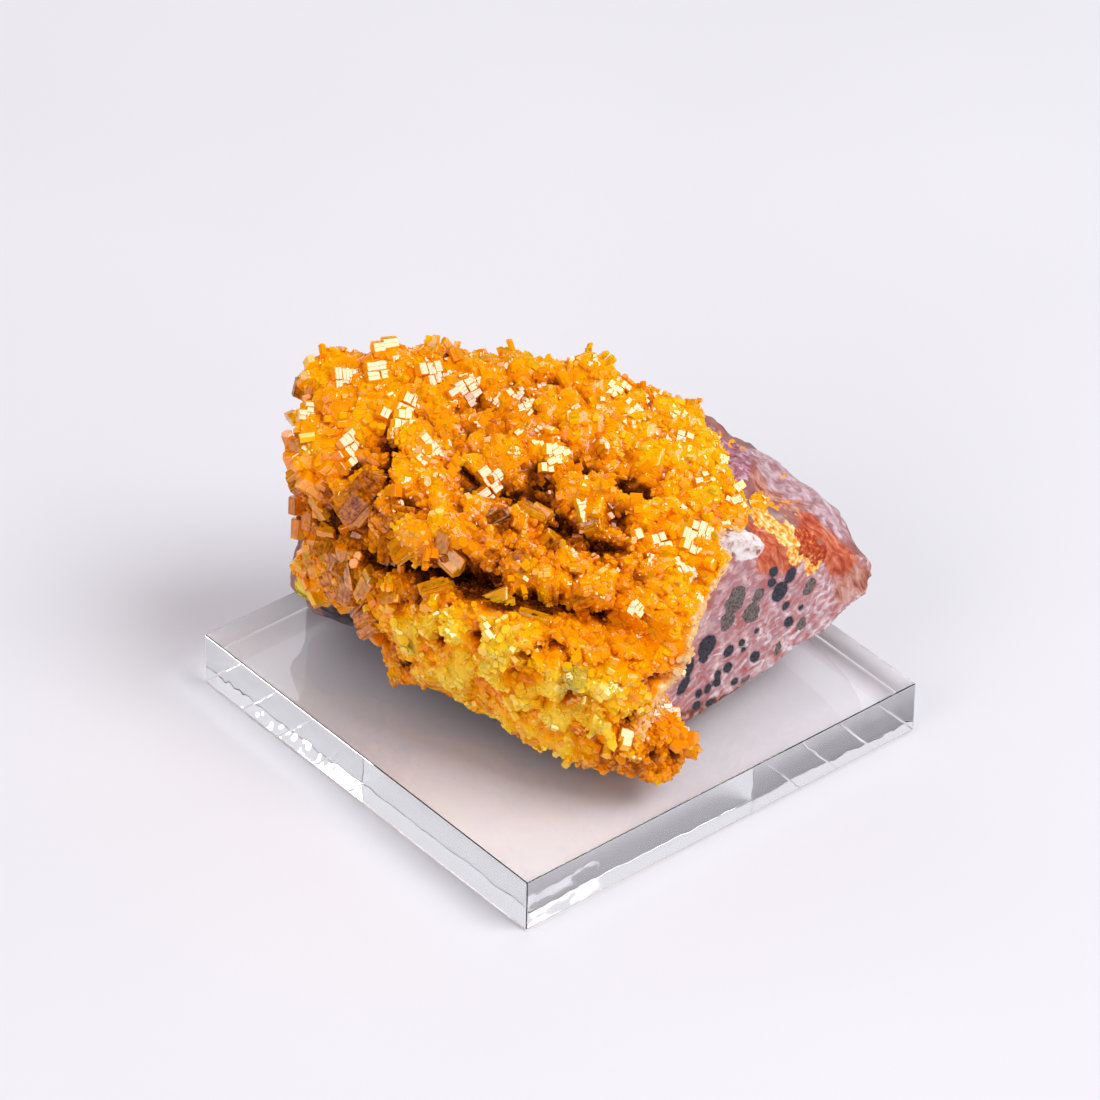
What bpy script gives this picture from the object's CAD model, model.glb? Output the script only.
import math

import bmesh
import bpy
import numpy as np
from mathutils import Matrix, Vector, noise


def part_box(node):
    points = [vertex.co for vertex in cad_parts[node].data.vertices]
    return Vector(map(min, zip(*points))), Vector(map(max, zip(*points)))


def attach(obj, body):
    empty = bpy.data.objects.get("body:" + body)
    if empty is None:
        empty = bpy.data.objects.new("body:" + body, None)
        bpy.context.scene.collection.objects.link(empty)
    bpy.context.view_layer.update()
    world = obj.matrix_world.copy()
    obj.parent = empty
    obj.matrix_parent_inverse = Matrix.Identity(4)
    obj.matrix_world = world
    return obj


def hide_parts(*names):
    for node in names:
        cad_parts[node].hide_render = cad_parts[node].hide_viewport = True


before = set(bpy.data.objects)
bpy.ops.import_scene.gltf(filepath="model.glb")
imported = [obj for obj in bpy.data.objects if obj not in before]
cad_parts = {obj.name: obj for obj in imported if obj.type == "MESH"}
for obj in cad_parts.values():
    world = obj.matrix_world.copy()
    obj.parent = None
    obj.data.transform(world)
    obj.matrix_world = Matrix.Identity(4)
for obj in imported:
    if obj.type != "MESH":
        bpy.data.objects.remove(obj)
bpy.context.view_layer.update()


# ======================================================================================
# The slab. A square of clear cast acrylic sheet, half an inch thick, sawn to size, its
# edges polished and eased by a small bevel. It lies flat and the rock rests on it.
# ======================================================================================
MM = 0.001
SLAB_BEVEL = 0.3 * MM
SLAB_BEVEL_STEPS = 4
ACRYLIC_TINT = "#FFFFFF"
ACRYLIC_ABSORBS = "#B6B7BC"
ACRYLIC_DENSITY = 1.6
POLISH_RIPPLE = 6 * MM
POLISH_DEPTH = 0.05 * MM


def linear(colour, alpha=1.0):
    """An sRGB hex colour as the linear values that Blender works in."""
    parts = [int(colour[i:i + 2], 16) / 255 for i in (1, 3, 5)]
    return tuple(c / 12.92 if c <= 0.04045 else ((c + 0.055) / 1.055) ** 2.4 for c in parts) + (alpha,)


def add(tree, kind, inputs=None, stops=None, out=0, **settings):
    """Add a node, with its settings, its colour stops, and the values or links of its inputs.

    What comes back is one of its outputs, by name or number: the first where `out` isn't given.
    """
    made = tree.nodes.new("ShaderNode" + kind)
    for name, value in settings.items():
        setattr(made, name, value)
    if stops:
        ramp = made.color_ramp
        while len(ramp.elements) < len(stops):
            ramp.elements.new(1.0)
        for element, (place, colour) in zip(ramp.elements, stops):
            element.position = place
            element.color = linear(colour)
    for socket, value in (inputs or {}).items():
        if isinstance(value, bpy.types.NodeSocket):
            tree.links.new(value, made.inputs[socket])
        else:
            made.inputs[socket].default_value = value
    return made.outputs[out]


def new_material(name):
    """An empty node material with its output: the material and its tree and output node."""
    made = bpy.data.materials.new(name)
    made.use_nodes = True
    made.node_tree.nodes.clear()
    output = made.node_tree.nodes.new("ShaderNodeOutputMaterial")
    return made, made.node_tree, output


def put(name, mesh, *finishes):
    """Put a mesh in the scene as a piece that moves with the body."""
    piece = bpy.data.objects.new(name, mesh)
    bpy.context.scene.collection.objects.link(piece)
    for finish in finishes:
        mesh.materials.append(finish)
    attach(piece, "root")
    return piece


def slab_mesh():
    """The square block in its place, with rounded edges."""
    low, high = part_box("acrylic_base")
    bm = bmesh.new()
    bmesh.ops.create_cube(bm, size=1)
    bmesh.ops.scale(bm, vec=high - low, verts=bm.verts)
    bmesh.ops.translate(bm, vec=(low + high) / 2, verts=bm.verts)
    bmesh.ops.bevel(bm, geom=bm.edges[:], offset=SLAB_BEVEL, segments=SLAB_BEVEL_STEPS,
                    profile=0.5, affect="EDGES")
    mesh = bpy.data.meshes.new("slab")
    bm.to_mesh(mesh)
    bm.free()
    return mesh


def cast_acrylic():
    """Cast acrylic: water-clear on its faces, greyer where one looks along the sheet.

    The sawn edges keep faint ripples from the polishing, which break up what is seen in them.
    """
    made, tree, output = new_material("cast_acrylic")
    place = add(tree, "TexCoord", out="Object")
    facing = add(tree, "NewGeometry", out="True Normal")
    upright = add(tree, "SeparateXYZ", {"Vector": facing}, out="Z")
    upright = add(tree, "Math", {0: upright}, operation="ABSOLUTE")
    edge = add(tree, "Math", {0: upright, 1: 0.5}, operation="LESS_THAN")
    ripple = add(tree, "TexNoise", {"Vector": place, "Scale": 1 / POLISH_RIPPLE, "Detail": 1.0})
    bump = add(tree, "Bump", {"Strength": edge, "Distance": POLISH_DEPTH, "Height": ripple})
    shader = add(tree, "BsdfPrincipled", {
        "Base Color": linear(ACRYLIC_TINT), "Roughness": 0.0, "IOR": 1.49,
        "Transmission Weight": 1.0, "Normal": bump})
    depth = add(tree, "VolumeAbsorption", {"Color": linear(ACRYLIC_ABSORBS), "Density": ACRYLIC_DENSITY})
    tree.links.new(shader, output.inputs["Surface"])
    tree.links.new(depth, output.inputs["Volume"])
    return made


slab = put("acrylic_slab", slab_mesh(), cast_acrylic())
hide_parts("acrylic_base")


# ======================================================================================
# The rock. A wedge broken from the wall of an oxidised ore vein: hard altered lava, stained
# mauve and brick red by hematite, with dark slate-coloured ovals in the flat broken end.
# It is one piece, lies on its flat underside, and carries the crystals on its front.
# ======================================================================================
# Its own frame has x along its length, -y to the crystals and z up, in millimetres.
ROCK_TURN = math.radians(49.2)
ROCK_CENTRE = np.array((0, -4, 38))
CORNERS = {
    "crest_left": (-54, 19, 64.5),
    "crest_a": (-46, 28, 68.5),
    "crest_b": (-33, 30, 67.5),
    "crest_c": (6, 25, 69.5),
    "ridge_a": (27, 22, 61),
    "ridge_b": (41, 18, 52),
    "ridge_c": (53, 13, 43),
    "tip": (65, 7, 31),
    "tip_low": (60, 5, 24),
    "shoulder_front": (38, -17, 49),
    "left_a": (-55, 8, 59),
    "left_b": (-55, 3, 50),
    "left_c": (-54, 3, 33),
    "left_foot": (-54, 12, 12),
    "brow_b": (-32, -19, 26),
    "brow_c": (-14, -32, 18),
    "brow_d": (1, -39, 17),
    "nose": (18, -44, 13),
    "nose_b": (28, -37, 15),
    "lip_left": (-31, -20, 53),
    "lip_right": (15, -30, 49),
    "lobe_left": (-24, -30, 43),
    "lobe_mid": (-8, -39, 42),
    "lobe_right": (11, -45, 36),
    "back_left": (-50, 36, 42),
    "back_left_low": (-46, 36, 14),
    "back_mid": (0, 42, 40),
    "back_mid_low": (0, 41, 14),
    "back_right": (44, 30, 36),
    "back_right_low": (46, 26, 16),
    "under_left": (-36, 15, 10),
    "under_back": (-30, 32, 10),
    "under_back_right": (26, 33, 10),
    "under_right": (30, 4, 11),
    "under_front": (12, -25, 10),
    "under_front_left": (-20, -6, 10),
}
EDGE_SHARPNESS = 45
MERGE_ANGLE = math.radians(7)
LUMP_SIZE = 12
LUMP_HEIGHT = 2.4

# Its flat breaks and the flat it rests on: a point of each and the way it faces.
BROKEN_END = ((34, -12, 50.2), (0.615, -0.779, 0.123))
UNDERCUT = ((28.7, -23, 16), (0.319, -0.145, -0.937))
ROCK_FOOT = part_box("matrix_rock")[0].z / MM
RESTING_FACE = ((0, 0, ROCK_FOOT), (0, 0, -1))

# The cleft between the upper crystals and the lower lobe, and broad hollows: middle, radius, depth.
CLEFT = ((-46, -6, 49), (-31, -20.5, 49), (-17, -27, 48.5), (3, -32, 47.5), (18, -34, 41))
CLEFT_WIDTH = 4.5
CLEFT_DEPTH = 7.5
HOLLOWS = (
    ((-44, 3, 15), 9, 5.0), ((-40, -6, 20), 7, 3.5), ((-24, -24, 18), 8, 2.0), ((-41, -3, 13), 8, 3.5),
    ((47, 14, 48), 13, 0.6),
)

# Small cavities in the crust: middle, radius, depth. Then gaps, the first at the bottom of the cleft:
# line, width, depth. Lips hang over some gaps: which gap, height above it, and how far they lean out.
# Height there is as the viewer sees it, where what lies nearer by one millimetre is lower by 0.75.
PITS = (
    ((4, 3, 61.5), 3.9, 5.8), ((8, 1, 60.5), 3.1, 4.6), ((14, -3, 60.5), 3.4, 6.9),
    ((19, -4, 60), 3.4, 6.9), ((-5.3, -1.8, 59.9), 3.1, 5.8), ((-37, 8, 63.5), 2.6, 5.8),
    ((-30, -18, 44), 4.4, 5.8), ((-26, -16.5, 47.5), 3.6, 5.8), ((-1.6, -11.6, 56.2), 2.9, 4.6),
    ((-42, -6, 50), 3.4, 4.6), ((-49, 2, 47), 3.6, 5.2), ((-46, -2, 39), 3.4, 4.6),
    ((14, -43, 27), 3.1, 4.0), ((12, -10, 56), 2.6, 4.6), ((-20, -4, 59), 2.3, 4.0),
    ((-44, 2, 57), 2.6, 4.6), ((26, -4, 58.5), 2.3, 4.0), ((-33, -8, 57), 2.6, 4.0),
    ((-17.5, -33, 40), 2.6, 4.6), ((-7, -38, 39), 3.0, 5.2), ((-3.5, -37.5, 42), 2.8, 4.6),
    ((12, -37, 40), 2.8, 4.2), ((8, -41.5, 24), 2.8, 4.6), ((-14, -33, 29), 2.6, 4.0),
    ((-24, -27, 36), 2.6, 4.2), ((2, -40, 31), 2.2, 4.2), ((18, -37, 36), 2.6, 4.0),
    ((-10, -36, 34), 2.2, 4.0), ((13, -41, 33), 2.2, 4.0), ((-29, -24, 33), 2.2, 3.6),
)

GAPS = (
    (((-40, -9, 45), (-32, -13.5, 45.5), (-24, -19, 47), (-18, -22.9, 47), (-12, -24.5, 46),
      (-3, -26.5, 45.5)), 3.0, 10.0),
    (((-3, -26.5, 45.5), (3, -28, 46), (9, -28, 44.5)), 2.2, 7.0),
    (((-54, 3, 50), (-49, 0, 45), (-44, -5, 44)), 1.8, 5.0),
    (((3, 4, 61.5), (10, 0, 60.5), (18, -3.5, 60), (27, -3.5, 58.5)), 2.3, 7.5),
    (((-6, -8, 58.5), (0, -12, 56.5), (7, -17, 53.5), (13, -18, 52.5)), 2.0, 5.0),
    (((-38, 6, 63.5), (-36, 0, 60), (-39, -5, 56)), 1.8, 5.0),
    (((-24, 2, 61), (-17, -4, 59), (-11, -6, 58.5)), 1.7, 4.0),
)
SEEN_LOWER = 0.75
LIPS = ((0, 3.6, (0.3, -1.5, -1.6)), (1, 3.2, (0.2, -1.3, -1.4)), (3, 2.8, (0.2, -1.3, -1.2)))

# The crystals fill the right end of the cleft again, and are thin under the toe: middle, radius
# and height.
FILLS = (((12, -34, 43), 6.0, 4.0), ((19, -35, 41), 6.0, 4.0), ((22, -40, 9), 6.5, -2.6))

# Where the crystal crust reaches: planes that bound it, each a point and the way out of it, and
# the foot of the broken end, where it grows on in front of the rock: middle and radius.
CRUST_BOUNDS = (
    ((34.5, -12, 50.2), (0.917, -0.239, -0.322)), ((36.5, 0, 54), (0.894, 0.267, 0.359)),
    ((-20, 31, 62), (0, 0.8, -0.6)), ((0, -30, 14.6), (0, 0.25, -0.97)),
)
CRUST_REACHES = (((20.5, -38, 15), 9.0), ((40.2, 3.0, 50.8), 2.8), ((36.6, -11.0, 44.0), 3.6),
                 ((-42, -9, 22), 7.5), ((-35, -16, 19.5), 6.5))
CRUST_GAPS = (((34.0, -11.8, 51.0), 4.0),)
RAGGED_SIZE = 14
RAGGED_DEPTH = 2.2
RAGGED_SHIFT = (3, 1, 4)
FRAY_SIZE = 2.5
FRAY_DEPTH = 0.8
CRUST_AT_EDGE = 1.3
CRUST_INSIDE = 3.0
CRUST_GROWS_OVER = 10
ROCK_SINKS_OVER = 4
FULL_FROM = 2.5
GAP_IN_CRUST = 1.6

# The fine surface: its net of directions, and the grain of the broken stone.
NET_STRETCH = (60, 38, 30)
ROCK_CELLS = 92
HACKLE = ((5.0, 0.65), (1.8, 0.28))
CHIP_SIZE = 13
CHIP_DEPTH = 3.4
CHIPS_FROM = 0.5
UNDER_CRUST = -0.5
ROCK_SHRINKS = 0.15
BREAK_GRAIN = ((6.0, 0.12), (1.4, 0.10))

# What a field that says how far inside a patch a point is holds away from every patch.
BARE = -9.0


def unit(vectors):
    """Vectors scaled to length one."""
    vectors = np.asarray(vectors, float)
    return vectors / np.linalg.norm(vectors, axis=-1, keepdims=True)


def noise_at(points, size, shift=(0, 0, 0)):
    """Blender's noise at each point, with swells about `size` mm across."""
    moved = points / size + np.array(shift)
    return np.array([noise.noise(p) for p in moved.tolist()])


def rock_sides():
    """The flat sides of the rock: the planes round its corners, near-equal ones taken once."""
    bm = bmesh.new()
    for corner in CORNERS.values():
        bm.verts.new(corner)
    bmesh.ops.convex_hull(bm, input=bm.verts)
    bm.normal_update()
    centre = Vector(ROCK_CENTRE)
    kept = []
    for face in sorted(bm.faces, key=lambda f: -f.calc_area()):
        normal = face.normal.copy()
        if all(normal.angle(other) > MERGE_ANGLE for other, _ in kept):
            kept.append((normal, normal.dot(face.verts[0].co - centre)))
    bm.free()
    return np.array([list(n) for n, _ in kept]), np.array([d for _, d in kept])


def net(cells):
    """Directions out of the rock's centre and the square cells that join them."""
    bm = bmesh.new()
    bmesh.ops.create_cube(bm, size=2)
    bmesh.ops.subdivide_edges(bm, edges=bm.edges, cuts=cells - 1, use_grid_fill=True)
    bm.verts.ensure_lookup_table()
    points = np.array([list(vert.co) for vert in bm.verts])
    faces = np.array([[vert.index for vert in face.verts] for face in bm.faces])
    bm.free()
    even = unit(np.tan(points * math.pi / 4))
    return unit(even * np.array(NET_STRETCH)), faces


def from_place(points, place):
    """How far each point is from a place."""
    return np.linalg.norm(points - np.array(place), axis=1)


def near(points, place, radius):
    """One at a place, fading to nothing past a radius."""
    return np.exp(-(from_place(points, place) / radius) ** 2)


def out_to(directions, reach):
    """The points that lie as far out from the rock's centre as the reach says."""
    return ROCK_CENTRE + directions * reach[:, None]


def cleft_at(points):
    """How deep the cleft is at each point."""
    return CLEFT_DEPTH * np.exp(-(line_distance(points, CLEFT) / CLEFT_WIDTH) ** 2)


def line_distance(points, line):
    """How far each point is from a line through a few points."""
    ends = np.array(line, float)
    nearest = np.full(len(points), np.inf)
    for a, b in zip(ends, ends[1:]):
        along = np.clip((points - a) @ (b - a) / ((b - a) @ (b - a)), 0, 1)
        nearest = np.minimum(nearest, np.linalg.norm(points - a - along[:, None] * (b - a), axis=1))
    return nearest


def outside(directions):
    """The rock with its crust: where each direction meets it, in millimetres."""
    normals, distances = SIDES
    toward = np.maximum(directions @ normals.T, 1e-4) / distances
    reach = np.sum(toward ** EDGE_SHARPNESS, axis=1) ** (-1 / EDGE_SHARPNESS)
    points = out_to(directions, reach)
    reach += LUMP_HEIGHT * noise_at(points, LUMP_SIZE)
    reach -= cleft_at(points)
    for middle, radius, depth in HOLLOWS:
        reach -= depth * near(points, middle, radius)
    return out_to(directions, reach)


def deep(points):
    """How deep the gaps and the small cavities go at each point of the crust."""
    wavy = 1 + 0.7 * noise_at(points, 5.0, (3, 3, 3))
    depth = np.zeros(len(points))
    for line, width, down in GAPS:
        depth = np.maximum(depth, down * np.exp(-(line_distance(points, line) / width / wavy) ** 2))
    for middle, radius, down in PITS:
        away = from_place(points, middle) / radius
        depth = np.maximum(depth, down * np.exp(-(away * (1 + 0.5 * noise_at(points, 2.5))) ** 2))
    return depth


def cover(points):
    """How far inside the crust's ragged border each point lies; less than zero is bare rock."""
    inside = np.full(len(points), np.inf)
    for place, outward in CRUST_BOUNDS:
        inside = np.minimum(inside, (np.array(place) - points) @ unit(outward))
    for middle, radius in CRUST_REACHES:
        inside = np.maximum(inside, radius - from_place(points, middle))
    for middle, radius in CRUST_GAPS:
        inside = np.minimum(inside, from_place(points, middle) - radius)
    inside -= RAGGED_DEPTH * np.maximum(noise_at(points, RAGGED_SIZE, RAGGED_SHIFT), -0.2)
    return inside - FRAY_DEPTH * noise_at(points, FRAY_SIZE)


def crust_thickness(inside):
    """Thin at the crust's border and thicker inside; none on the bare rock past the border."""
    grown = np.clip(inside / CRUST_GROWS_OVER, 0, 1)
    sunk = np.clip(inside / ROCK_SINKS_OVER + 1, 0, 1)
    return (CRUST_AT_EDGE + (CRUST_INSIDE - CRUST_AT_EDGE) * grown) * sunk


def grain(points, layers):
    """Layers of noise, each a size and a height in millimetres."""
    return sum(height * noise_at(points, size) for size, height in layers)


def cut(directions, reach, flats):
    """Shorten the reach to the flats, each a point and the way it faces."""
    for place, outward in flats:
        outward = unit(outward)
        distance = (np.array(place) - ROCK_CENTRE) @ outward
        reach = np.minimum(reach, distance / np.maximum(directions @ outward, 1e-3))
    return reach


def turned(points):
    """From the rock's own frame in millimetres to the object's frame in metres."""
    c, s = math.cos(ROCK_TURN), math.sin(ROCK_TURN)
    turn = np.array(((c, -s, 0), (s, c, 0), (0, 0, 1)))
    return np.asarray(points) @ turn.T * MM


def mesh_from(name, points, faces, fields):
    """A mesh from points in the rock's frame, with a named value or vector at each point."""
    mesh = bpy.data.meshes.new(name)
    mesh.from_pydata(turned(points).tolist(), [], [list(face) for face in faces])
    for label, values in fields.items():
        kind = "FLOAT_VECTOR" if values.ndim == 2 else "FLOAT"
        layer = mesh.attributes.new(label, kind, "POINT")
        layer.data.foreach_set("vector" if values.ndim == 2 else "value",
                               np.ascontiguousarray(values, np.float32).ravel())
    mesh.update()
    return mesh


SIDES = rock_sides()

# The broken end's own two directions, along it and up it, for what is seen in it.
END_ALONG = np.array((0.789, 0.607, -0.096))
END_UP = np.array((0.0, 0.156, 0.988))
STREAKS_LEAN = math.radians(25)

# The dark ovals in the broken end: along, up, half length, half width in mm, and lean in degrees.
OVALS = (
    (12.0, -14.1, 2.2, 1.9, 60), (14.6, -11.2, 1.8, 1.3, 65), (9.8, -11.4, 1.0, 1.1, 50),
    (13.7, -17.8, 1.0, 0.8, 40), (14.6, -21.7, 1.2, 1.2, 60), (6.2, -27.0, 1.2, 1.3, 30),
    (2.7, -22.7, 0.8, 0.8, 0), (3.2, -24.4, 0.6, 0.6, 0), (-6.2, -20.8, 2.5, 2.0, 50),
    (-7.0, -23.2, 1.1, 1.1, 70), (-3.2, -28.1, 1.1, 0.8, 80), (-3.4, -29.8, 0.9, 1.1, 60),
    (-0.7, -27.3, 1.1, 1.1, 50), (-11.8, -27.9, 2.2, 1.1, 55), (-5.6, -30.5, 1.2, 0.8, 75),
    (-7.9, -30.9, 1.0, 0.8, 90), (-8.3, -33.5, 1.0, 1.1, 60), (-10.6, -24.2, 2.1, 1.1, 70),
    (-0.6, -23.6, 1.4, 1.1, 45), (6.4, -21.2, 0.6, 0.6, 0), (17.6, -19.4, 0.6, 0.7, 0),
    (-5.0, -33.9, 1.1, 0.8, 20), (1.2, -31.0, 1.0, 0.8, 20), (10.2, -9.1, 1.1, 1.2, 30),
)
OLIVES = (
    (0.6, -12.6, 3.3, 2.4, 58), (-1.2, -16.6, 2.2, 1.8, 62), (4.8, -16.8, 2.3, 2.2, 60),
    (6.6, -13.2, 1.6, 1.5, 60), (19.6, -15.2, 2.0, 1.5, 60), (17.8, -23.3, 1.7, 1.3, 60),
    (12.0, -27.0, 1.5, 0.9, 70), (4.0, -31.4, 1.6, 0.7, 25),
)

# Patches of other stone on the shoulder and ridge: middle and half sizes in the rock's frame.
PATCHES = {
    "white": (((37.2, -9.9, 48.6), (5.6, 4.2, 3.4)), ((34.0, -12.2, 51.4), (4.0, 3.4, 3.0))),
    "lens": (((33.5, 10.0, 55.0), (4.2, 7.0, 4.0)),),
    "cream": (((40.5, -1.0, 49.0), (4.2, 3.0, 3.6)), ((44.5, -2.0, 45.6), (3.0, 3.4, 3.6)),
              ((47.2, -3.0, 42.2), (3.0, 3.0, 3.2)), ((50.4, -1.3, 38.2), (3.4, 2.6, 2.2))),
    "core": (((48.6, 0.0, 42.6), (3.2, 3.4, 3.6)), ((51.0, -0.4, 40.0), (2.6, 2.4, 2.8))),
    "tan": (((43.0, 9.0, 50.0), (10.0, 5.5, 6.0)), ((59.0, 3.0, 30.0), (4.5, 5.0, 4.5))),
    "brick": (((41.5, -7.2, 44.5), (4.6, 3.6, 4.4)), ((40.0, -4.0, 48.6), (3.4, 3.6, 3.0)),
              ((45.5, -4.5, 41.0), (3.4, 2.4, 3.0)), ((55.0, 3.6, 38.0), (6.0, 3.6, 7.0)),
              ((50.0, 4.4, 43.6), (4.4, 3.0, 4.0))),
    "ridge": (((46.0, 14.0, 48.6), (24.0, 5.2, 6.4)), ((55.0, 9.5, 42.0), (8.0, 4.0, 6.5))),
    "spots": (((36.0, 16.5, 56.0), (6.0, 3.0, 3.0)), ((46.0, 15.0, 50.5), (7.0, 2.4, 4.0)),
              ((44.5, 5.0, 48.0), (5.0, 5.0, 3.0))),
    "black": (((-47.0, 2.0, 20.0), (4.0, 5.0, 4.5)), ((-40.0, -5.0, 24.0), (5.0, 4.0, 3.5)),
              ((-42.0, -1.0, 14.0), (11.0, 11.0, 7.0)), ((-32.0, -8.0, 13.0), (9.0, 9.0, 6.0)),
              ((-38.0, -6.0, 18.0), (9.0, 7.0, 6.0))),
    "tongue": (((-50.5, 0.0, 26.0), (6.0, 7.0, 7.5)),),
    "foot": (((20.0, -18.0, 14.5), (60.0, 40.0, 3.4)),),
}


def oval_inside(along, up, ovals):
    """How far inside the nearest oval each place of the broken end is, in millimetres."""
    inside = np.full(len(along), BARE)
    for x, y, long, short, lean in ovals:
        c, s = math.cos(math.radians(lean)), math.sin(math.radians(lean))
        across = (-(along - x) * s + (up - y) * c) / short
        length = ((along - x) * c + (up - y) * s) / long
        inside = np.maximum(inside, (1 - np.hypot(across, length)) * short)
    return inside


def patch_inside(points, patches):
    """How far inside the nearest patch each point is, in millimetres."""
    inside = np.full(len(points), BARE)
    for middle, half in patches:
        away = (points - np.array(middle)) / np.array(half)
        inside = np.maximum(inside, (1 - np.linalg.norm(away, axis=1)) * min(half))
    return inside


def rock_piece():
    """The whole stone as one closed surface, with the fields its colours follow."""
    directions, faces = net(ROCK_CELLS)
    outer = outside(directions)
    inside = cover(outer)
    reach = from_place(outer, ROCK_CENTRE) - crust_thickness(inside)
    reach -= np.clip(deep(outer) - GAP_IN_CRUST, 0, None) * np.clip(inside / FULL_FROM, 0, 1)
    whole = out_to(directions, reach)
    flats = (BROKEN_END, UNDERCUT)
    flat_reach = cut(directions, np.full(len(reach), 1e3), flats)
    broken = flat_reach < reach
    reach = np.minimum(reach, flat_reach)
    points = out_to(directions, reach)
    chips = CHIP_DEPTH * np.abs(noise_at(whole, CHIP_SIZE, (3, 8, 2)))
    chipped = grain(whole, HACKLE) + CHIPS_FROM - chips
    chipped = np.where(inside > 1, np.minimum(chipped, UNDER_CRUST), chipped)
    rough = np.where(broken, grain(points, BREAK_GRAIN), chipped)
    reach = cut(directions, reach + rough - ROCK_SHRINKS, (RESTING_FACE,))
    points = out_to(directions, reach)
    place, outward = BROKEN_END
    lift = (points - np.array(place)) @ unit(outward)
    along, up = (points - np.array(place)) @ END_ALONG, (points - np.array(place)) @ END_UP
    fields = {name: patch_inside(points, patches) for name, patches in PATCHES.items()}
    fields["end"] = 1.5 - np.abs(lift)
    fields["oval"] = np.where(fields["end"] > 0, oval_inside(along, up, OVALS), BARE)
    fields["olive"] = np.where(fields["end"] > 0, oval_inside(along, up, OLIVES), BARE)
    c, s = math.cos(STREAKS_LEAN), math.sin(STREAKS_LEAN)
    fields["along"] = np.stack([along * c + up * s, up * c - along * s, lift], axis=1)
    return mesh_from("rock", points, faces, fields)


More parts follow.
